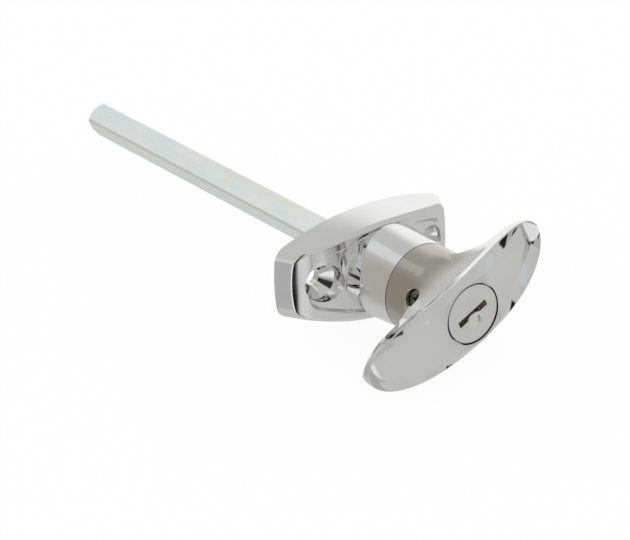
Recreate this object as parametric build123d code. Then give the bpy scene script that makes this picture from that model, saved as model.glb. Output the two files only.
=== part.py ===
from build123d import *
import math
import os

# Locking T-handle for a door or canopy: a cast escutcheon plate with a collar, a T-shaped grip
# that turns in the collar, a wafer lock in the grip and a square spindle through the door.
# Frame, in millimetres: the origin is the middle of the plate's back face, X runs along the
# plate, +Y points into the door, +Z is up. Heights are measured from the door towards the user.

os.makedirs("parts", exist_ok=True)

# Lengths used by cutting bodies only
past = 1.0
far = 60.0

# Square spindle and its cross pin
spindle_side = 8.0
spindle_corner = 0.9
spindle_roll = 7.8
spindle_clearance = 0.05
spindle_back = 133.0
spindle_front_height = 18.8
spindle_end_round = 1.6
socket_end_gap = 0.1
pin_radius = 1.5
pin_height = 13.5
pin_clearance = 0.04
pin_sunk = 0.2

# Tail of the grip's journal, cut for the stop washer and the retaining ring
tail_wall = 0.95
ring_groove_depth = 0.8
tail_flat_depth = 1.0
journal_step = 1.4
tail_step_height = 8.5
tail_end_height = 0.8
step_clearance = 0.1

# Washers and ring in the counterbore at the back of the plate
counterbore_depth = 5.0
counterbore_clearance = 0.3
wave_washer_thickness = 1.2
stop_washer_thickness = 1.2
retaining_ring_thickness = 1.0
stack_clearance = 0.1
ring_seat_clearance = 0.05
ring_lip = 1.2
ring_gap = 3.0
washer_overhang = 0.7
washer_clearance = 0.15
wave_washer_clearance = 0.3
stop_tab_length = 2.5
stop_tab_width = 4.0
stop_tab_clearance = 0.3
stop_slack = 1.5

# Travel of the grip about the spindle, counter-clockwise from the user's side
rest_angle = 24.0
travel = 90.0
lock_notch_count = 5

# Plug of the lock and its keyway
plug_radius = 8.0
plug_clearance = 0.05
plug_head_lip = 0.8
plug_head_gap = 0.3
plug_head_thickness = 2.6
plug_head_clearance = 0.02
plug_sunk = 0.2
plug_rear_height = 28.0
plug_turn = 90.0
keyway_length = 10.5
keyway_width = 2.0
dimple_sphere_radius = 3.2
dimple_depth = 1.2
dimple_offset = 1.9
lock_wall = 5.0

# Wafers, their springs and the slots that they reach into
wafer_count = 5
wafers_before_screw = 2
wafer_pitch = 3.2
first_wafer_height = 46.0
wafer_thickness = 1.0
wafer_width = 6.4
wafer_clearance = 0.1
wafer_end_clearance = 0.05
wafer_window_length = 8.5
wafer_window_width = 3.2
wafer_stagger = 0.35
wafer_spring_radius = 0.7
wafer_spring_length = 3.0
wafer_spring_clearance = 0.1
wafer_spring_offset = 2.8
broach_width = 7.6
broach_depth = 0.9
broach_end_height = 29.0
broach_head_room = 0.5

# Screw that keeps the plug in the grip
screw_angle = 136.0
screw_height = 39.4
screw_hole_radius = 3.0
screw_head_radius = 2.7
screw_head_height = 1.8
screw_sunk = 1.2
screw_seat_clearance = 0.02
screw_shank_radius = 2.0
screw_shank_clearance = 0.04
screw_dog_radius = 1.4
screw_dog_clearance = 0.15
screw_tip_gap = 0.3
screw_cross_length = 3.0
screw_cross_width = 0.8
screw_cross_depth = 1.2
plug_groove_depth = 1.2
plug_groove_clearance = 0.1

# Cam and locking bolt, in the grip's own frame
bolt_angle = -90.0
cam_rim = 1.5
cam_thickness = 2.2
cam_bar_width = 2.4
cam_bar_height = 1.2
cam_bar_clearance = 0.05
cam_pin_radius = 1.0
cam_pin_offset = 1.85
cam_pin_clearance = 0.1
cam_pin_tip_gap = 0.3
bolt_thickness = 3.0
bolt_body_half_width = 4.0
bolt_body_back = 5.5
bolt_body_front = 3.6
bolt_nose_width = 2.2
bolt_nose_sunk = 0.5
bolt_clearance = 0.06
bolt_end_clearance = 0.15
notch_clearance = 0.32
notch_end_gap = 0.23
notch_depth_gap = 1.14
floor_gap = 0.2

# Escutcheon plate
plate_half_length = 30.5
plate_half_width = 15.2
plate_end_half_width = 10.0
plate_corner_radius = 5.0
plate_end_bulge = 0.8
plate_end_draft = 0.50
plate_side_draft = 0.045
plate_wall = 2.4
crest_height_middle = 12.5
crest_height_end = 4.8
crest_round = 1.4
pocket_depth = 0.6
pocket_border = 2.9
pocket_corner_radius = 4.0
pocket_floor_round = 0.5
pocket_edge_round = 0.3

# Fixing holes
hole_spacing = 38.0
hole_radius = 2.6
hole_sink_radius = 5.7
hole_seat_height = 5.4
hole_boss_wall = 1.8

# Collar and its foot
collar_wall = 1.15
collar_height = 27.9
collar_taper = 0.9
collar_lip = 0.4
foot_flare = 1.3
foot_flare_height = 3.4
foot_flare_middle = 0.3
foot_low_height = 9.0
foot_edge_height = 17.4
foot_side_height = 12.7
bore_clearance = 0.07

# Neck and grip
seam_gap = 0.12
neck_step = 0.1
neck_straight_height = 35.4
neck_top_inset = 0.8
neck_top_height = 46.0
neck_top_lean = 0.35
grip_half_length = 33.5
grip_outline_power = 3.4
grip_root_height = 30.0
grip_tip_flat = 0.2
face_margin = 0.8
face_height = 50.4
face_flat = 9.6
face_blend = 3.0
face_fall = 9.614
face_end_share = 0.689029
face_tip_border = 3.0
face_tip_drop = 0.15
rim_width = 1.5
rim_height = 48.8
rim_fall = 4.84505
rim_round = 0.5
rim_round_share = 0.33
side_draft = 0.92
wing_edge_thickness = 2.4
wing_shoulder_height = 36.0
tip_shoulder_depth = 0.986
tip_blend_start = 18.0
neck_back_share = 0.97
wing_back_share = 0.5
wing_back_bulge = 0.04
wing_blend_start = 8.0
wing_blend_end = 22.0
wing_back_start = 20.0
wing_wall = 3.2
tip_wall = 1.3
tip_back_slope = 0.1

# Sizes that follow from those above
bolt_stroke = 2 * cam_pin_offset * math.sin(math.radians(plug_turn / 2))
socket_side = spindle_side + 2 * spindle_clearance
ring_groove_radius = math.sqrt(2) * (socket_side / 2 - spindle_corner) + spindle_corner + tail_wall
tail_flat_half = ring_groove_radius + ring_groove_depth
tail_radius = tail_flat_half + tail_flat_depth
journal_radius = tail_radius + journal_step
washer_radius = journal_radius + washer_overhang
counterbore_radius = washer_radius + counterbore_clearance
stop_tab_radius = washer_radius + stop_tab_length
stop_pocket_radius = stop_tab_radius + stop_tab_clearance
bolt_nose_reach = journal_radius - bolt_nose_sunk
notch_radius = bolt_nose_reach + bolt_stroke + notch_end_gap
collar_radius = max(plug_radius + lock_wall, notch_radius + collar_wall)
neck_radius = collar_radius - neck_step
plug_head_radius = plug_radius + plug_head_lip
plug_recess_radius = plug_head_radius + plug_head_gap
plug_groove_radius = plug_radius - plug_groove_depth
cam_radius = plug_radius - cam_rim
face_half_width = plug_recess_radius + face_margin
grip_half_width = face_half_width + rim_width
neck_top_radius = grip_half_width - neck_top_inset
face_end = grip_half_length - face_tip_border
grip_end = grip_half_length - grip_tip_flat
face_slope = face_fall / (face_end - face_flat)


def at_height(height):
    """Plane facing the user at a height above the door, with its own X along world X."""
    return Plane(origin=(0, -height, 0), x_dir=(1, 0, 0), z_dir=(0, -1, 0))


def disc(radius, low, high):
    """Round bar about the spindle axis between two heights."""
    return extrude(at_height(low) * Circle(radius), high - low)


def block(length, width, low, high, centre=(0, 0)):
    """Bar with its length along X and its width along Z between two heights."""
    return extrude(at_height(low) * Pos(*centre) * Rectangle(length, width), high - low)


def square_bar(side, low, high):
    """Bar of the spindle's section, with its rounded corners, between two heights."""
    return extrude(at_height(low) * RectangleRounded(side, side, spindle_corner), high - low)


def turned(profile):
    """Body turned about the spindle axis from (radius, height) points."""
    points = [(radius, -height) for radius, height in profile]
    return revolve(Plane.XY * make_face(Polyline(*points, close=True)), Axis.Y)


def radial_plane(angle, inner, height):
    """Plane square to a radius of the grip, at an angle in the grip's own frame."""
    direction = Vector(math.cos(math.radians(angle)), 0, math.sin(math.radians(angle)))
    return Plane(origin=direction * inner + Vector(0, -height, 0), x_dir=(0, 1, 0), z_dir=direction)


def radial(angle, radius, inner, outer, height):
    """Round bar along a radius of the grip."""
    return extrude(radial_plane(angle, inner, height) * Circle(radius), outer - inner)


def spun(solid, angle):
    """Turn a body counter-clockwise about the spindle axis, seen from the user's side."""
    return solid.rotate(Axis.Y, -angle)


def save(name, solid):
    export_step(solid, f"parts/{name}.step")


# Escutcheon
def plate_outline(height, inset, corner_radius):
    """Boat-shaped outline of the plate at a height, drawn in by the draft of its walls."""
    half_length = plate_half_length - plate_end_draft * height - inset
    half_width = plate_half_width - plate_side_draft * height - inset
    end_half = plate_end_half_width - plate_side_draft * height - inset
    shoulder = half_length - plate_end_bulge
    corners = [(shoulder, end_half), (-shoulder, end_half), (-shoulder, -end_half), (shoulder, -end_half)]
    top = ThreePointArc(corners[0], (0, half_width), corners[1])
    left = ThreePointArc(corners[1], (-half_length, 0), corners[2])
    bottom = ThreePointArc(corners[2], (0, -half_width), corners[3])
    right = ThreePointArc(corners[3], (half_length, 0), corners[0])
    face = make_face([top, left, bottom, right])
    return at_height(height) * fillet(face.vertices(), corner_radius)


def drafted_block(inset=0.0, corner_radius=plate_corner_radius):
    """Solid with the plate's drafted walls, from its back to above the edge of the collar's foot."""
    low = plate_outline(0, inset, corner_radius)
    high = plate_outline(foot_edge_height + past, inset, corner_radius)
    return loft([low, high], ruled=True)


def bar_radius(reach, sag):
    """Radius of an arc that falls by a sag over a reach from its top."""
    return (reach ** 2 + sag ** 2) / (2 * sag)


def arch(lowered=0.0):
    """Bar across the plate whose round top is the arched front."""
    reach = plate_half_length - plate_end_draft * crest_height_end
    radius = bar_radius(reach, crest_height_middle - crest_height_end)
    return Pos(0, radius - crest_height_middle, 0) * Cylinder(radius - lowered, far)


def crown():
    """Bar along the plate whose round top falls from the collar's crisp edge to the long sides."""
    reach = plate_half_width - plate_side_draft * foot_side_height
    radius = bar_radius(reach, foot_edge_height - foot_side_height)
    return Pos(0, radius - foot_edge_height, 0) * Rot(0, 90, 0) * Cylinder(radius, 2 * far)


def make_escutcheon():
    blank = drafted_block()
    body = blank & arch()
    front = body.faces().sort_by(Axis.Y)[0]
    body = fillet(front.edges(), crest_round)
    body -= pocket()
    crest = body.faces().sort_by(Axis.Y)[0]
    body = fillet(crest.inner_wires()[0].edges(), pocket_edge_round)
    body -= plate_core()
    body += collar_foot() & blank
    body += collar()
    body -= collar_bore()
    for side in (-1, 1):
        body -= Pos(side * hole_spacing / 2, 0, 0) * fixing_hole()
    return body


def pocket():
    """Shallow field sunk into the front inside a border, with a rounded floor edge."""
    cut = drafted_block(pocket_border, pocket_corner_radius) - arch(pocket_depth)
    floor = cut.faces().sort_by(Axis.Y)[-1]
    return fillet(floor.edges(), pocket_floor_round)


def plate_core():
    """Hollow of the cast plate's back, clear of the bosses of the collar and of the fixing holes."""
    core = drafted_block(plate_wall, plate_corner_radius - plate_wall) & arch(pocket_depth + plate_wall)
    core -= disc(stop_pocket_radius + hole_boss_wall, -past, far)
    for side in (-1, 1):
        core -= Pos(side * hole_spacing / 2, 0, 0) * disc(hole_sink_radius + hole_boss_wall, -past, far)
    return core


def collar_radius_at(height):
    """The collar tapers from the plate's long sides up to its front."""
    share = (collar_height - height) / (collar_height - foot_side_height)
    return collar_radius + collar_taper * share


def collar_wall_radius():
    """The collar's upright wall under its crisp edge."""
    return collar_radius_at(foot_edge_height) - collar_lip


def collar_foot():
    """Upright wall under the collar's crisp edge, with a small flare on to the plate."""
    wall = collar_wall_radius()
    high = foot_low_height + foot_flare_height
    middle_height = foot_low_height + foot_flare_height * foot_flare_middle
    middle = (wall + foot_flare * foot_flare_middle, -middle_height)
    flare = ThreePointArc((wall, -high), middle, (wall + foot_flare, -foot_low_height))
    rest = Polyline((wall + foot_flare, -foot_low_height), (0, -foot_low_height),
                    (0, -foot_edge_height), (wall, -foot_edge_height), (wall, -high))
    return revolve(Plane.XY * make_face([flare, rest]), Axis.Y)


def collar():
    """Tapered collar; a scoop at each end of the plate gives it its crisp lower edge."""
    base = collar_radius_at(foot_side_height)
    cone = turned([(0, counterbore_depth), (base, counterbore_depth), (base, foot_side_height),
                   (collar_radius, collar_height), (0, collar_height)])
    scoop = crown() & disc(base + past, counterbore_depth - past, foot_edge_height + past)
    return cone - (scoop - disc(collar_wall_radius(), 0, far))


def collar_bore():
    bore = disc(journal_radius + bore_clearance, tail_step_height, collar_height + past)
    bore += disc(tail_radius + bore_clearance, counterbore_depth - past, tail_step_height + past)
    bore += disc(counterbore_radius, -past, counterbore_depth)
    bore += stop_pocket()
    for notch in range(lock_notch_count):
        bore += lock_notch(travel * notch / (lock_notch_count - 1))
    return bore


def stop_pocket():
    """Sector in the back of the plate in which the stop washer's tab travels."""
    tab_half = math.degrees(math.asin(stop_tab_width / 2 / counterbore_radius))
    half_spread = math.radians((travel + stop_slack) / 2 + tab_half)
    corner_x = far * math.cos(half_spread)
    corner_z = far * math.sin(half_spread)
    wedge = Polyline((0, 0), (corner_x, -corner_z), (2 * far, 0), (corner_x, corner_z), close=True)
    sector = extrude(at_height(-past) * make_face(wedge), counterbore_depth + past)
    return sector & disc(stop_pocket_radius, -past, counterbore_depth)


def lock_notch(angle):
    """Slot in the collar for the bolt's nose, at an angle from the closed end of the travel."""
    width = bolt_nose_width + 2 * notch_clearance
    low = bolt_low() - notch_depth_gap
    slot = block(notch_radius, width, low, collar_height + past, (notch_radius / 2, 0))
    return spun(slot & disc(notch_radius, 0, far), bolt_angle + angle)


def fixing_hole():
    """Countersunk hole: a round sink down to a cone, and the clear hole for the screw."""
    cone_low = hole_seat_height - (hole_sink_radius - hole_radius)
    return turned([(0, -past), (hole_radius, -past), (hole_radius, cone_low),
                   (hole_sink_radius, hole_seat_height), (hole_sink_radius, far), (0, far)])


# Grip with its neck and journal
def grip_half_width_at(t):
    return grip_half_width * math.sqrt(1 - (abs(t) / grip_half_length) ** grip_outline_power)


def rim_height_at(t):
    return rim_height - rim_fall * (t / face_end) ** 2


def face_height_at(t):
    """Flat round the lock, then falling steadily to the tip, with a short blend between."""
    past_flat = abs(t) - (face_flat - face_blend)
    if past_flat <= 0:
        return face_height
    if past_flat < 2 * face_blend:
        return face_height - face_slope * past_flat ** 2 / (4 * face_blend)
    return face_height - face_slope * (past_flat - face_blend)


def land_at(t):
    """Half width and height of the face between its two rims; past its end it rises to the tip."""
    place = min(abs(t), face_end)
    end_width = face_end_share * grip_half_width_at(face_end)
    width = face_half_width + (end_width - face_half_width) * place / face_end
    height = face_height_at(place)
    if abs(t) > face_end:
        width *= grip_half_width_at(t) / grip_half_width_at(face_end)
        share = (abs(t) - face_end) / (grip_end - face_end)
        height += (rim_height_at(grip_end) - face_tip_drop - height) * share
    return width, height


def blended(t, start, end, first, last):
    """Value that passes smoothly from the first to the last between two distances along the grip."""
    share = min(1.0, max(0.0, (abs(t) - start) / (end - start)))
    return first + (last - first) * share * share * (3 - 2 * share)


def shoulder_at(t, edge_half_width):
    """Where the convex back of the wing ends: wide and low beside the neck, narrow and high later."""
    share = blended(t, wing_blend_start, wing_blend_end, neck_back_share, wing_back_share)
    tip_height = face_height_at(face_end) - tip_shoulder_depth
    height = blended(t, tip_blend_start, grip_half_length, wing_shoulder_height, tip_height)
    return edge_half_width * share, height


def toward(start, end, distance):
    """Point at a distance from the start of a line, or a third along it if the line is short."""
    length = math.hypot(end[0] - start[0], end[1] - start[1])
    share = min(distance / length, rim_round_share)
    return (start[0] + (end[0] - start[0]) * share, start[1] + (end[1] - start[1]) * share)


def mirrored(point):
    return (-point[0], point[1])


def grip_section(t):
    """Cross-section of the grip at a distance along its length: face, round rims and drafted sides."""
    rim = (grip_half_width_at(t), rim_height_at(t))
    land = land_at(t)
    edge = (rim[0] * side_draft, rim[1] - wing_edge_thickness)
    shoulder = shoulder_at(t, edge[0])
    root = (shoulder[0], grip_root_height)
    bulge = wing_back_bulge * edge[0]
    back = ((edge[0] + shoulder[0]) / 2 + bulge, (edge[1] + shoulder[1]) / 2 - bulge)
    inside = toward(rim, land, rim_round)
    outside = toward(rim, edge, rim_round)
    crest = ((rim[0] * 2 + inside[0] + outside[0]) / 4, (rim[1] * 2 + inside[1] + outside[1]) / 4)
    outline = [
        Line(land, inside),
        ThreePointArc(inside, crest, outside),
        Line(outside, edge),
        ThreePointArc(edge, back, shoulder),
        Line(shoulder, root),
        Line(root, mirrored(root)),
        Line(mirrored(root), mirrored(shoulder)),
        ThreePointArc(mirrored(shoulder), mirrored(back), mirrored(edge)),
        Line(mirrored(edge), mirrored(outside)),
        ThreePointArc(mirrored(outside), mirrored(crest), mirrored(inside)),
        Line(mirrored(inside), mirrored(land)),
        Line(mirrored(land), land),
    ]
    plane = Plane(origin=(t, 0, 0), x_dir=(0, 0, 1), z_dir=(1, 0, 0))
    return plane * make_face(outline)


def wing_loft():
    """The grip between the two ends of its face."""
    steps = 16
    return loft([grip_section(face_end * (2 * k / steps - 1)) for k in range(steps + 1)])


def tip_loft(side):
    """Rounded tip, with its sections closer together as the outline turns in."""
    steps = 5
    first = math.sqrt(1 - face_end / grip_half_length)
    last = math.sqrt(1 - grip_end / grip_half_length)
    places = [first + (last - first) * k / steps for k in range(steps + 1)]
    return loft([grip_section(side * grip_half_length * (1 - place ** 2)) for place in places])


def under_grip():
    """Room behind the wings: a trumpet that sweeps out of the neck and then follows the face."""
    reach = grip_half_length + past
    start_height = face_height_at(wing_back_start) - wing_wall
    end_height = face_height_at(face_end) - tip_wall
    sweep = Spline((neck_radius, -neck_straight_height), (wing_back_start, -start_height),
                   (reach, -end_height), tangents=((0, -1), (1, tip_back_slope)))
    rest = Polyline((reach, -end_height), (reach, 0), (neck_radius, 0),
                    (neck_radius, -neck_straight_height))
    return revolve(Plane.XY * make_face([sweep, rest]), Axis.Y)


def make_grip():
    return wing_loft() + tip_loft(1) + tip_loft(-1) - under_grip()


def make_neck():
    low = collar_height + seam_gap
    curve = Spline((neck_radius, -neck_straight_height), (neck_top_radius, -neck_top_height),
                   tangents=((0, -1), (-neck_top_lean, -1)))
    rest = Polyline((neck_top_radius, -neck_top_height), (0, -neck_top_height), (0, -low),
                    (neck_radius, -low), (neck_radius, -neck_straight_height))
    return revolve(Plane.XY * make_face([curve, rest]), Axis.Y)


def make_handle():
    body = make_grip() + make_neck()
    body += disc(journal_radius, tail_step_height + step_clearance, collar_height + past)
    body += tail()
    body -= lock_bore()
    body -= bolt_channel()
    body -= screw_hole()
    body -= spindle_socket()
    body -= pin_hole()
    return body


def tail():
    """Reduced end of the journal with two flats for the stop washer and a ring groove."""
    flats_end = counterbore_depth - step_clearance
    end = disc(tail_radius, tail_end_height, tail_step_height + past)
    flats = block(4 * tail_radius, 2 * tail_flat_half, 0, flats_end)
    end &= flats + disc(tail_radius + past, flats_end, tail_step_height + 2 * past)
    low, high = ring_seat()
    groove = disc(tail_radius + past, low - ring_seat_clearance, high + ring_seat_clearance)
    return end - (groove - disc(ring_groove_radius, 0, far))


def ring_seat():
    """Heights between which the retaining ring lies."""
    high = counterbore_depth - wave_washer_thickness - stop_washer_thickness - stack_clearance
    return high - retaining_ring_thickness, high


def lock_bore():
    bore = disc(plug_radius + plug_clearance, bore_floor(), far)
    bore += disc(plug_recess_radius, head_seat_height(), far)
    slots = block(2 * (plug_radius + broach_depth), broach_width, broach_end_height,
                  head_seat_height() + broach_head_room)
    return bore + (slots & disc(plug_radius + broach_depth, 0, far))


def head_seat_height():
    return face_height - plug_sunk - plug_head_thickness - plug_head_clearance


def bore_floor():
    return plug_rear_height - cam_thickness - floor_gap


def bolt_low():
    return bore_floor() - floor_gap - bolt_thickness


def bolt_channel():
    """Room in the journal for the bolt: its body slides in it and its nose comes out."""
    low = bolt_low() - bolt_clearance
    front = bolt_body_front + bolt_stroke + bolt_end_clearance
    back = bolt_body_back + bolt_end_clearance
    channel = block(front + back, 2 * (bolt_body_half_width + bolt_clearance), low,
                    bore_floor() + past, ((front - back) / 2, 0))
    reach = journal_radius + past
    nose = block(reach, bolt_nose_width + 2 * bolt_clearance, low,
                 bolt_low() + bolt_thickness + bolt_clearance, (reach / 2, 0))
    return spun(channel + nose, bolt_angle)


def screw_seat():
    """Radius at which the screw's head sits."""
    return neck_radius - screw_sunk - screw_head_height


def screw_hole():
    hole = radial(screw_angle, screw_hole_radius, screw_seat() - screw_seat_clearance,
                  neck_radius + 3 * past, screw_height)
    return hole + radial(screw_angle, screw_shank_radius + screw_shank_clearance, plug_radius - past,
                         neck_radius, screw_height)


def spindle_socket():
    return spun(square_bar(socket_side, -past, spindle_front_height + socket_end_gap), spindle_roll)


def pin_hole():
    return radial(0, pin_radius + pin_clearance, -journal_radius - past, journal_radius + past, pin_height)


# Lock parts
def make_plug():
    top = face_height - plug_sunk
    plug = disc(plug_radius, plug_rear_height, top)
    plug += disc(plug_head_radius, top - plug_head_thickness, top)
    plug -= block(keyway_length, keyway_width, broach_end_height, top + past)
    plug -= finger_dimple(top)
    for index in range(wafer_count):
        plug -= wafer_slot(wafer_place(index))
        plug -= spring_pocket(wafer_place(index))
    plug -= plug_groove()
    plug -= block(4 * plug_radius, cam_bar_width + 2 * cam_bar_clearance, plug_rear_height - past,
                  plug_rear_height + cam_bar_height + 2 * cam_bar_clearance)
    return plug


def finger_dimple(top):
    """Round dimple that leads the key into the keyway."""
    middle = top + dimple_sphere_radius - dimple_depth
    return Pos(0, -middle, -dimple_offset) * Sphere(dimple_sphere_radius)


def wafer_place(index):
    """Mid-height of a wafer: evenly pitched, with one place left free for the screw's groove."""
    place = index if index < wafers_before_screw else index + 1
    return first_wafer_height - wafer_pitch * place


def wafer_slot(height):
    half = wafer_thickness / 2 + wafer_clearance
    return block(4 * plug_radius, wafer_width + 2 * wafer_clearance, height - half, height + half)


def spring_bar(height, radius, length):
    """Round bar that lies along X beside a wafer."""
    middle = wafer_width / 2 + wafer_spring_radius + 2 * wafer_spring_clearance
    place = Pos(wafer_spring_offset, -height, middle)
    return place * Rot(0, 90, 0) * Cylinder(radius, length)


def spring_pocket(height):
    return spring_bar(height, wafer_spring_radius + wafer_spring_clearance,
                      wafer_spring_length + 2 * wafer_spring_clearance)


def make_wafer(index):
    low = wafer_place(index) - wafer_thickness / 2
    high = low + wafer_thickness
    plate = block(4 * plug_radius, wafer_width, low, high) & disc(plug_radius - wafer_end_clearance, 0, far)
    shift = wafer_stagger * (index % 3 - 1)
    return plate - block(wafer_window_length, wafer_window_width, low - past, high + past, (shift, 0))


def make_wafer_spring(index):
    return spring_bar(wafer_place(index), wafer_spring_radius, wafer_spring_length)


def plug_groove():
    """Arc in the plug for the screw's dog: it sets the turn of the key."""
    reach = screw_dog_radius + plug_groove_clearance
    ring = disc(plug_radius + past, screw_height - reach, screw_height + reach)
    ring -= disc(plug_groove_radius, 0, far)
    dog = math.degrees(math.asin((screw_dog_radius + screw_dog_clearance) / plug_groove_radius))
    start = math.radians(screw_angle - dog)
    spread = math.radians(plug_turn + 2 * dog)
    steps = [start + spread * k / 4 for k in range(5)]
    points = [(0, 0)] + [(far * math.cos(a), far * math.sin(a)) for a in steps]
    sector = at_height(screw_height - 2 * reach) * make_face(Polyline(*points, close=True))
    return ring & extrude(sector, 4 * reach)


def make_plug_screw():
    seat = screw_seat()
    top = seat + screw_head_height
    dog_start = plug_radius + screw_tip_gap
    dog_end = plug_groove_radius + screw_dog_clearance
    screw = radial(screw_angle, screw_head_radius, seat, top, screw_height)
    screw += radial(screw_angle, screw_shank_radius, dog_start, seat, screw_height)
    screw += radial(screw_angle, screw_dog_radius, dog_end, dog_start, screw_height)
    plane = radial_plane(screw_angle, top - screw_cross_depth, screw_height)
    cross = Rectangle(screw_cross_length, screw_cross_width)
    cross += Rectangle(screw_cross_width, screw_cross_length)
    return screw - extrude(plane * cross, screw_cross_depth + past)


def make_cam():
    low = plug_rear_height - cam_thickness
    cam = disc(cam_radius, low, plug_rear_height)
    bar = block(2 * plug_radius, cam_bar_width, low, plug_rear_height + cam_bar_height)
    cam += bar & disc(cam_radius, 0, far)
    angle = math.radians(bolt_angle + 90 + plug_turn / 2)
    centre = Pos(cam_pin_offset * math.cos(angle), cam_pin_offset * math.sin(angle))
    pin_low = bolt_low() + cam_pin_tip_gap
    pin = extrude(at_height(pin_low) * centre * Circle(cam_pin_radius), low + cam_thickness / 2 - pin_low)
    return cam + pin


def make_bolt():
    low = bolt_low()
    high = low + bolt_thickness
    bolt = block(bolt_body_front + bolt_body_back, 2 * bolt_body_half_width, low, high,
                 ((bolt_body_front - bolt_body_back) / 2, 0))
    bolt += block(bolt_nose_reach, bolt_nose_width, low, high, (bolt_nose_reach / 2, 0))
    near = cam_pin_offset * math.cos(math.radians(plug_turn / 2))
    slot_width = 2 * (cam_pin_radius + cam_pin_clearance)
    slot = block(slot_width, cam_pin_offset - near + slot_width, low - past, high + past,
                 (-bolt_stroke / 2, (near + cam_pin_offset) / 2))
    return spun(bolt - slot, bolt_angle)


# Spindle and what holds it
def make_spindle():
    bar = square_bar(spindle_side, -spindle_back, spindle_front_height)
    corner = spindle_side / math.sqrt(2)
    bar &= turned([(0, -spindle_back), (corner - spindle_end_round, -spindle_back),
                   (corner, -spindle_back + spindle_end_round), (corner, far), (0, far)])
    return spun(bar, spindle_roll) - pin_hole()


def make_spindle_pin():
    end = journal_radius - pin_sunk
    return radial(0, pin_radius, -end, end, pin_height)


def make_stop_washer():
    """Washer that turns with the grip; its tab points along +X of the plate at mid travel."""
    low = ring_seat()[1]
    high = low + stop_washer_thickness
    washer = disc(washer_radius, low, high)
    tab = block(stop_tab_radius, stop_tab_width, low, high, (stop_tab_radius / 2, 0))
    washer += spun(tab & disc(stop_tab_radius, 0, far), -travel / 2)
    hole = disc(tail_radius + washer_clearance, 0, far)
    return washer - (hole & block(far, 2 * (tail_flat_half + washer_clearance), 0, far))


def make_wave_washer():
    low = ring_seat()[1] + stop_washer_thickness
    ring = disc(washer_radius, low, low + wave_washer_thickness)
    return ring - disc(tail_radius + wave_washer_clearance, 0, far)


def make_retaining_ring():
    low, high = ring_seat()
    ring = disc(tail_radius + ring_lip, low, high) - disc(ring_groove_radius + ring_seat_clearance, 0, far)
    return ring - block(far, ring_gap, 0, far, (-far / 2, 0))


with_grip = {
    "t_handle": make_handle(),
    "lock_plug": make_plug(),
    "plug_retaining_screw": make_plug_screw(),
    "plug_cam": make_cam(),
    "locking_bolt": make_bolt(),
    "square_spindle": make_spindle(),
    "spindle_pin": make_spindle_pin(),
    "stop_washer": make_stop_washer(),
    "retaining_ring": make_retaining_ring(),
}
for number in range(wafer_count):
    with_grip[f"wafer_{number + 1}"] = make_wafer(number)
    with_grip[f"wafer_spring_{number + 1}"] = make_wafer_spring(number)

save("escutcheon", make_escutcheon())
save("wave_washer", make_wave_washer())
for name, solid in with_grip.items():
    save(name, spun(solid, rest_angle))
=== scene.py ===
import math

import bpy
from mathutils import Matrix, Vector


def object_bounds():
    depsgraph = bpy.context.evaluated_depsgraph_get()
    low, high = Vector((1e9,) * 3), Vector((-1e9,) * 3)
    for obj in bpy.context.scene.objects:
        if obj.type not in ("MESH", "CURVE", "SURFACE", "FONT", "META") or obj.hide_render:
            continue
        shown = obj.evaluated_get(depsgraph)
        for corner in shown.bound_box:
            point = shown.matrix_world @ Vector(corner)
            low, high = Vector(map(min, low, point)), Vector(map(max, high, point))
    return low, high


# Looks of the locking T-handle: chrome castings, satin lock face, zinc-plated spindle.
# Metres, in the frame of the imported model: X along the plate, +Y into the door, +Z up.

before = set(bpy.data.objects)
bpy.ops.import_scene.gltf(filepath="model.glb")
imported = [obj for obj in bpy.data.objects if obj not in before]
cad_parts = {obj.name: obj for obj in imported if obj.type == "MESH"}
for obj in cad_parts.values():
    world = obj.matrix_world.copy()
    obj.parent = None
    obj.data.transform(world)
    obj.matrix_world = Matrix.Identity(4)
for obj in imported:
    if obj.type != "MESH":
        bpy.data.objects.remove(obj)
cad_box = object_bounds()
millimetre = 0.001

# Camera: place, directions and lens fitted to the photograph
camera_place = (-0.4714, -0.6134, 0.3756)
camera_right = (0.7917, -0.6098, -0.0361)
camera_up = (0.2950, 0.3298, 0.8968)
lens_mm = 171.43
sensor_mm = 36.0

# Floor: a gap below the object. The camera sees it white, with a share of its shadow.
floor_half_size = 4.0
floor_gap = 1.0 * millimetre
floor_colour = (0.86, 0.86, 0.86)
floor_roughness = 0.9
floor_shadow_share = 0.10
floor_white = 1.03

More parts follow.
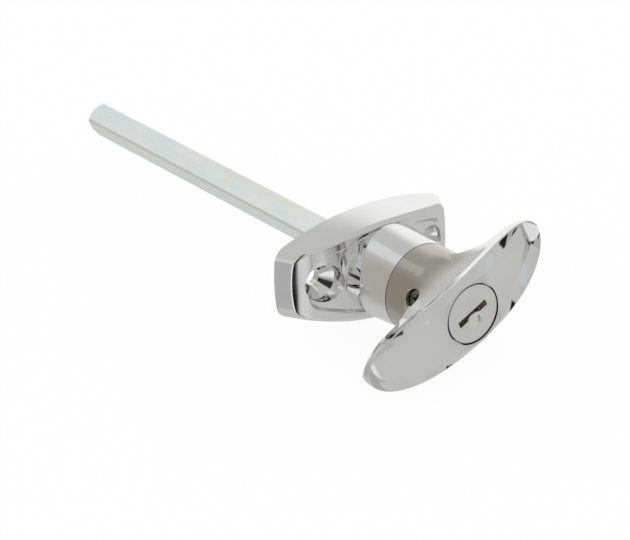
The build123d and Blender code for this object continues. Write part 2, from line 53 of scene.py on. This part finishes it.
# Studio round the object. A card is (azimuth, elevation, half width, half height, soft edge) in
# degrees and its tone. Azimuth 0 is into the door, 90 to the right of the plate, 180 the user.
# The tent is seen by the metal where no card is, and a later card covers an earlier one.
tent_light = (0.80, 0.80, 0.80)
tent_tone = (0.63, 0.63, 0.62)
white = (1.0, 1.0, 1.0)
full_turn = 360.0
studio_cards = [
    ("ceiling", (180, 90, 181, 38, 20), (0.64, 0.64, 0.62)),
    ("window", (32, 10, 33, 26, 22), (1.04, 1.04, 1.04)),
    ("high_left", (338, 45, 14, 7, 7), (0.80, 0.81, 0.81)),
    ("upper_front", (185, 30, 30, 26, 16), (0.61, 0.61, 0.60)),
    ("front_wall", (150, -16, 22, 16, 22), (0.55, 0.55, 0.54)),
    ("border_light", (199, -26, 5, 8, 3), (0.76, 0.76, 0.76)),
    ("cool_wall", (125, 11, 10, 12, 8), (0.65, 0.68, 0.715)),
    ("left_wall", (268, -12, 14, 26, 10), (0.51, 0.51, 0.51)),
    ("left_window", (266, 10, 10, 9, 8), (0.72, 0.72, 0.73)),
    ("low_front", (202, -52, 14, 5, 5), (0.90, 0.90, 0.91)),
    ("brown_wall", (313, -2, 18, 38, 26), (0.50, 0.48, 0.44)),
    ("left_strip", (240, -26, 13, 14, 5), (1.00, 1.00, 1.00)),
    ("front_flag", (212, -26, 11, 14, 3), (0.012, 0.012, 0.012)),
    ("camera_side", (220, 8, 8, 32, 5), (0.03, 0.03, 0.032)),
    ("right_flag", (97, -34, 12, 7, 3), (0.015, 0.015, 0.015)),
    ("low_flag", (120, -53, 17, 4, 2), (0.015, 0.015, 0.015)),
]

# Chrome: two tones in wide clouds, roughness by brushing and smears, slow waves, polishing marks.
# A range is where a noise passes from its low side to its high side.
chrome_tones = ((0.770, 0.768, 0.760), (0.805, 0.806, 0.810))
chrome_cloud_size = 14 * millimetre
chrome_cloud_range = (0.35, 0.65)
chrome_brush_size = 1.2 * millimetre
chrome_brush_stretch = (1.0, 0.25, 3.0)
chrome_brush_range = (0.35, 0.75)
chrome_brush_factor = (0.6, 1.3)
chrome_smear_size = 6 * millimetre
chrome_smear_range = (0.35, 0.7)
chrome_smear_roughness = (0.05, 0.10)
chrome_wave_size = 9 * millimetre
chrome_wave_depth = 0.030 * millimetre
chrome_mark_size = 0.5 * millimetre
chrome_mark_stretch = (1.0, 0.3, 4.0)
chrome_mark_depth = 0.0006 * millimetre

# Painted darker, warmer reflection and shade on the grip's neck: its tone, the height where it ends,
# its radius and its fade
neck_painted_reflection_tone = (0.46, 0.435, 0.39)
neck_painted_reflection_top = 45.0 * millimetre
neck_painted_reflection_radius = 12.5 * millimetre
neck_painted_reflection_fade = 6.0 * millimetre

# Satin lock face: turned rings that wobble a little, two tones, and a painted dark ring of shade at
# its edge
ring_pitch = 0.22 * millimetre
ring_depth = 0.0007 * millimetre
ring_wobble_size = 2.5 * millimetre
satin_tones = ((0.830, 0.828, 0.810), (0.880, 0.880, 0.870))
satin_cloud_size = 5 * millimetre
satin_cloud_range = (0.3, 0.7)
satin_roughness = (0.28, 0.36)
lock_edge_painted_shade_radii = (8.4 * millimetre, 8.7 * millimetre)
lock_edge_painted_shade_tone = (0.10, 0.10, 0.095)

# Zinc plate: pale patches, straw tints and specks, with drawing lines along the bar
zinc_tones = ((0.900, 0.980, 0.975), (0.965, 0.995, 0.985))
zinc_patch_size = 5 * millimetre
zinc_patch_stretch = (1.0, 0.3, 1.0)
zinc_patch_range = (0.35, 0.65)
zinc_patch_swirl = 0.6
straw_tone = (0.960, 0.950, 0.880)
straw_size = 9 * millimetre
straw_stretch = (1.0, 0.22, 1.0)
straw_range = (0.54, 0.70)
straw_swirl = 0.4
speck_tone = (0.800, 0.870, 0.865)
speck_size = 0.5 * millimetre
speck_range = (0.62, 0.78)
speck_share = 0.35
line_size = 0.30 * millimetre
line_stretch = (1.0, 0.03, 1.0)
line_range = (0.25, 0.75)
line_roughness = (0.24, 0.36)
line_depth = 0.001 * millimetre

# Plain metals: dark tone, light tone, stretch of the grain along each axis and roughness
plain_metals = {
    "spring_steel": ((0.36, 0.36, 0.37), (0.52, 0.52, 0.53), (1, 1, 4), 0.25),
    "blackened_steel": ((0.16, 0.15, 0.14), (0.34, 0.32, 0.30), (1, 1, 1), 0.28),
    "stamped_brass": ((0.70, 0.50, 0.20), (0.86, 0.66, 0.32), (4, 1, 1), 0.22),
    "machined_steel": ((0.48, 0.48, 0.48), (0.66, 0.66, 0.65), (1, 4, 1), 0.24),
}
grain_size = 0.35 * millimetre
grain_range = (0.3, 0.7)
grain_depth = 0.003 * millimetre
grain_roughness_factor = 1.4
stain_size = 3 * millimetre
stain_share = (0.5, 1.0)


def link(thing):
    bpy.context.scene.collection.objects.link(thing)
    return thing


def make_camera():
    data = bpy.data.cameras.new("camera")
    data.lens = lens_mm
    data.sensor_width = sensor_mm
    data.sensor_fit = "HORIZONTAL"
    camera = link(bpy.data.objects.new("camera", data))
    right = Vector(camera_right).normalized()
    up = Vector(camera_up)
    up = (up - right * up.dot(right)).normalized()
    turn = Matrix((right, up, right.cross(up))).transposed()
    camera.matrix_world = Matrix.Translation(camera_place) @ turn.to_4x4()
    bpy.context.scene.camera = camera


class Nodes:
    """Short calls that add shader nodes and return their output."""

    def __init__(self, tree):
        self.tree = tree

    def put(self, target, value):
        if isinstance(value, bpy.types.NodeSocket):
            self.tree.links.new(value, target)
        else:
            target.default_value = value

    def add(self, kind, settings=None, **inputs):
        node = self.tree.nodes.new(kind)
        for name, value in (settings or {}).items():
            setattr(node, name, value)
        for name, value in inputs.items():
            self.put(node.inputs[name.replace("_", " ")], value)
        return node

    def math(self, operation, first, second=0.0):
        node = self.add("ShaderNodeMath", {"operation": operation})
        self.put(node.inputs[0], first)
        self.put(node.inputs[1], second)
        return node.outputs[0]

    def spread(self, value, span, result=(0.0, 1.0)):
        """Smooth passage between two results as the input goes over a span."""
        node = self.add("ShaderNodeMapRange", {"interpolation_type": "SMOOTHSTEP"}, Value=value)
        node.inputs["From Min"].default_value = span[0]
        node.inputs["From Max"].default_value = span[1]
        node.inputs["To Min"].default_value = result[0]
        node.inputs["To Max"].default_value = result[1]
        return node.outputs["Result"]

    def fall(self, value, span):
        """Smooth passage from 1 to 0 over a span."""
        return self.spread(value, span, (1.0, 0.0))

    def mix(self, share, first, second):
        """Colour between two colours, through the node's sockets for colour: 6 and 7 in, 2 out."""
        node = self.add("ShaderNodeMix", {"data_type": "RGBA"})
        self.put(node.inputs[0], share)
        self.put(node.inputs[6], (*first, 1) if isinstance(first, tuple) else first)
        self.put(node.inputs[7], (*second, 1) if isinstance(second, tuple) else second)
        return node.outputs[2]

    def place(self, stretch=(1, 1, 1)):
        """Object coordinates in metres, stretched along each axis."""
        source = self.add("ShaderNodeTexCoord").outputs["Object"]
        node = self.add("ShaderNodeVectorMath", {"operation": "MULTIPLY"})
        self.put(node.inputs[0], source)
        node.inputs[1].default_value = stretch
        return node.outputs[0]

    def from_axis(self):
        """Distance from the spindle's axis."""
        node = self.add("ShaderNodeVectorMath", {"operation": "LENGTH"})
        self.put(node.inputs[0], self.place((1, 0, 1)))
        return node.outputs["Value"]

    def from_door(self):
        """Height above the door, towards the user."""
        node = self.add("ShaderNodeVectorMath", {"operation": "DOT_PRODUCT"})
        self.put(node.inputs[0], self.place())
        node.inputs[1].default_value = (0, -1, 0)
        return node.outputs["Value"]

    def noise(self, vector, size, detail=2.0, swirl=0.0):
        """Noise from 0 to 1 whose features are about a size in metres."""
        node = self.add("ShaderNodeTexNoise", None, Vector=vector, Scale=1 / size, Detail=detail)
        node.inputs["Distortion"].default_value = swirl
        return node.outputs["Fac"]

    def bump(self, height, depth, normal=None):
        """Raised by a depth in metres where the height is 1."""
        node = self.add("ShaderNodeBump", None, Height=height, Distance=depth, Strength=1.0)
        if normal is not None:
            self.put(node.inputs["Normal"], normal)
        return node.outputs["Normal"]


def new_material(name):
    """Metal material, its shader and the calls that add to its nodes."""
    material = bpy.data.materials.new(name)
    material.use_nodes = True
    shader = material.node_tree.nodes["Principled BSDF"]
    shader.inputs["Metallic"].default_value = 1.0
    return material, shader, Nodes(material.node_tree)


def neck_painted_reflection_share(nodes):
    """Share of the painted neck reflection and shade: 1 on the grip's neck, behind the wings and close
    to the spindle's axis, fading to 0 round it.
    """
    behind = nodes.fall(nodes.from_door(), (neck_painted_reflection_top - neck_painted_reflection_fade, neck_painted_reflection_top))
    close = nodes.fall(nodes.from_axis(), (neck_painted_reflection_radius, neck_painted_reflection_radius + neck_painted_reflection_fade))
    return nodes.math("MULTIPLY", behind, close)


def make_chrome(name, painted_reflection_on_neck=False):
    """Bright chrome on a buffed casting.

    On the grip's neck it can carry a painted darker, warmer reflection and shade, behind the wings.
    """
    material, shader, nodes = new_material(name)
    plain = nodes.place()
    cloud = nodes.noise(plain, chrome_cloud_size, detail=3.0)
    colour = nodes.mix(nodes.spread(cloud, chrome_cloud_range), *chrome_tones)
    if painted_reflection_on_neck:
        # painted reflection and shade: the neck's base colour is darkened and warmed behind the wings
        colour = nodes.mix(neck_painted_reflection_share(nodes), colour, neck_painted_reflection_tone)
    nodes.put(shader.inputs["Base Color"], colour)
    brush = nodes.noise(nodes.place(chrome_brush_stretch), chrome_brush_size, detail=4.0)
    smear = nodes.noise(plain, chrome_smear_size)
    roughness = nodes.math("MULTIPLY", nodes.spread(brush, chrome_brush_range, chrome_brush_factor),
                           nodes.spread(smear, chrome_smear_range, chrome_smear_roughness))
    nodes.put(shader.inputs["Roughness"], roughness)
    waves = nodes.bump(nodes.noise(plain, chrome_wave_size, detail=1.0), chrome_wave_depth)
    mark = nodes.noise(nodes.place(chrome_mark_stretch), chrome_mark_size, detail=3.0)
    nodes.put(shader.inputs["Normal"], nodes.bump(mark, chrome_mark_depth, waves))
    return material


def make_satin():
    """Satin nickel lock face, turned on a lathe: fine rings about the spindle's axis."""
    material, shader, nodes = new_material("satin_nickel")
    across = nodes.from_axis()
    wobble = nodes.noise(nodes.place(), ring_wobble_size)
    radius = nodes.math("ADD", across, nodes.math("MULTIPLY", wobble, ring_pitch))
    rings = nodes.math("SINE", nodes.math("MULTIPLY", radius, 2 * math.pi / ring_pitch))
    cloud = nodes.noise(nodes.place(), satin_cloud_size, detail=3.0)
    colour = nodes.mix(nodes.spread(cloud, satin_cloud_range), *satin_tones)
    # painted shade: a dark ring at the lock face's edge stands for the shadow in the deep gap round
    # the plug
    edge_painted_shade = nodes.spread(across, lock_edge_painted_shade_radii)
    nodes.put(shader.inputs["Base Color"], nodes.mix(edge_painted_shade, colour, lock_edge_painted_shade_tone))
    nodes.put(shader.inputs["Roughness"], nodes.spread(rings, (-1.0, 1.0), satin_roughness))
    nodes.put(shader.inputs["Normal"], nodes.bump(rings, ring_depth))
    return material


def make_zinc():
    """Clear zinc plate on drawn bar."""
    material, shader, nodes = new_material("zinc_plate")
    patch = nodes.noise(nodes.place(zinc_patch_stretch), zinc_patch_size,
                        detail=3.0, swirl=zinc_patch_swirl)
    tint = nodes.noise(nodes.place(straw_stretch), straw_size, swirl=straw_swirl)
    pale = nodes.mix(nodes.spread(patch, zinc_patch_range), *zinc_tones)
    tinted = nodes.mix(nodes.spread(tint, straw_range), pale, straw_tone)
    speck = nodes.noise(nodes.place(), speck_size)
    colour = nodes.mix(nodes.spread(speck, speck_range, (0.0, speck_share)), tinted, speck_tone)
    nodes.put(shader.inputs["Base Color"], colour)
    lines = nodes.noise(nodes.place(line_stretch), line_size, detail=3.0)
    nodes.put(shader.inputs["Roughness"], nodes.spread(lines, line_range, line_roughness))
    nodes.put(shader.inputs["Normal"], nodes.bump(lines, line_depth))
    return material


def make_metal(name, dark, light, stretch, roughness):
    """Plain steel or brass with a worked grain: two tones and grain lines."""
    material, shader, nodes = new_material(name)
    grain = nodes.noise(nodes.place(stretch), grain_size, detail=4.0)
    stain = nodes.noise(nodes.place(), stain_size, detail=3.0)
    share = nodes.math("MULTIPLY", nodes.spread(grain, grain_range),
                       nodes.spread(stain, grain_range, stain_share))
    nodes.put(shader.inputs["Base Color"], nodes.mix(share, dark, light))
    rougher = roughness * grain_roughness_factor
    nodes.put(shader.inputs["Roughness"], nodes.spread(grain, grain_range, (roughness, rougher)))
    nodes.put(shader.inputs["Normal"], nodes.bump(grain, grain_depth))
    return material


def make_materials():
    """Material of each CAD node, by name."""
    zinc = make_zinc()
    metal = {name: make_metal(name, *values) for name, values in plain_metals.items()}
    by_node = {
        "escutcheon": make_chrome("bright_chrome"),
        "t_handle": make_chrome("grip_chrome", painted_reflection_on_neck=True),
        "lock_plug": make_satin(),
        "square_spindle": zinc,
        "stop_washer": zinc,
        "wave_washer": metal["spring_steel"],
        "retaining_ring": metal["spring_steel"],
        "plug_retaining_screw": metal["blackened_steel"],
        "spindle_pin": metal["machined_steel"],
        "plug_cam": metal["machined_steel"],
        "locking_bolt": metal["machined_steel"],
    }
    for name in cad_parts:
        if name.startswith("wafer_spring"):
            by_node[name] = metal["spring_steel"]
        elif name.startswith("wafer"):
            by_node[name] = metal["stamped_brass"]
    return by_node


def paint_nodes():
    by_node = make_materials()
    for name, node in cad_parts.items():
        node.data.materials.clear()
        node.data.materials.append(by_node[name])


def ray_kinds(nodes, *kinds):
    """1 for rays of any of these kinds."""
    path = nodes.add("ShaderNodeLightPath")
    total = path.outputs[kinds[0]]
    for kind in kinds[1:]:
        total = nodes.math("MAXIMUM", total, path.outputs[kind])
    return total


def make_floor():
    """Pale floor that shows white to the camera and keeps a soft shadow; the metal sees the studio."""
    low = cad_box[0][2] - floor_gap
    size = floor_half_size
    corners = [(-size, -size, low), (size, -size, low), (size, size, low), (-size, size, low)]
    mesh = bpy.data.meshes.new("floor")
    mesh.from_pydata(corners, [], [(0, 1, 2, 3)])
    floor = link(bpy.data.objects.new("floor", mesh))
    floor.visible_glossy = False
    material, shader, nodes = new_material("floor")
    shader.inputs["Metallic"].default_value = 0.0
    shader.inputs["Roughness"].default_value = floor_roughness
    shader.inputs["Base Color"].default_value = (*floor_colour, 1)
    glow = nodes.add("ShaderNodeEmission", None, Strength=floor_white)
    share = nodes.math("MULTIPLY", ray_kinds(nodes, "Is Camera Ray"), 1 - floor_shadow_share)
    blend = nodes.add("ShaderNodeMixShader")
    nodes.put(blend.inputs[0], share)
    nodes.put(blend.inputs[1], shader.outputs[0])
    nodes.put(blend.inputs[2], glow.outputs[0])
    output = material.node_tree.nodes["Material Output"]
    nodes.put(output.inputs["Surface"], blend.outputs[0])
    mesh.materials.append(material)


def make_studio():
    """Plain tent for the light; the metal sees its walls and cards, and the camera sees white."""
    world = bpy.data.worlds.new("studio")
    bpy.context.scene.world = world
    world.use_nodes = True
    nodes = Nodes(world.node_tree)
    direction = nodes.add("ShaderNodeTexCoord").outputs["Generated"]
    parts = nodes.add("ShaderNodeSeparateXYZ", None, Vector=direction)
    bearing = nodes.math("DEGREES", nodes.math("ARCTAN2", parts.outputs["X"], parts.outputs["Y"]))
    azimuth = nodes.math("FLOORED_MODULO", bearing, full_turn)
    elevation = nodes.math("DEGREES", nodes.math("ARCSINE", parts.outputs["Z"]))
    seen = tent_tone
    for _, (centre_azimuth, centre_elevation, half_width, half_height, edge), tone in studio_cards:
        aside = nodes.math("ABSOLUTE", nodes.math("SUBTRACT", azimuth, centre_azimuth))
        above = nodes.math("ABSOLUTE", nodes.math("SUBTRACT", elevation, centre_elevation))
        across = nodes.fall(aside, (half_width - edge / 2, half_width + edge / 2))
        along = nodes.fall(above, (half_height - edge / 2, half_height + edge / 2))
        seen = nodes.mix(nodes.math("MULTIPLY", across, along), seen, tone)
    lit = nodes.mix(ray_kinds(nodes, "Is Glossy Ray"), tent_light, seen)
    shown = nodes.mix(ray_kinds(nodes, "Is Camera Ray", "Is Transmission Ray"), lit, white)
    background = world.node_tree.nodes["Background"]
    nodes.put(background.inputs["Color"], shown)
    background.inputs["Strength"].default_value = 1.0
    bpy.context.scene.view_settings.view_transform = "Standard"


make_camera()
paint_nodes()
make_floor()
make_studio()
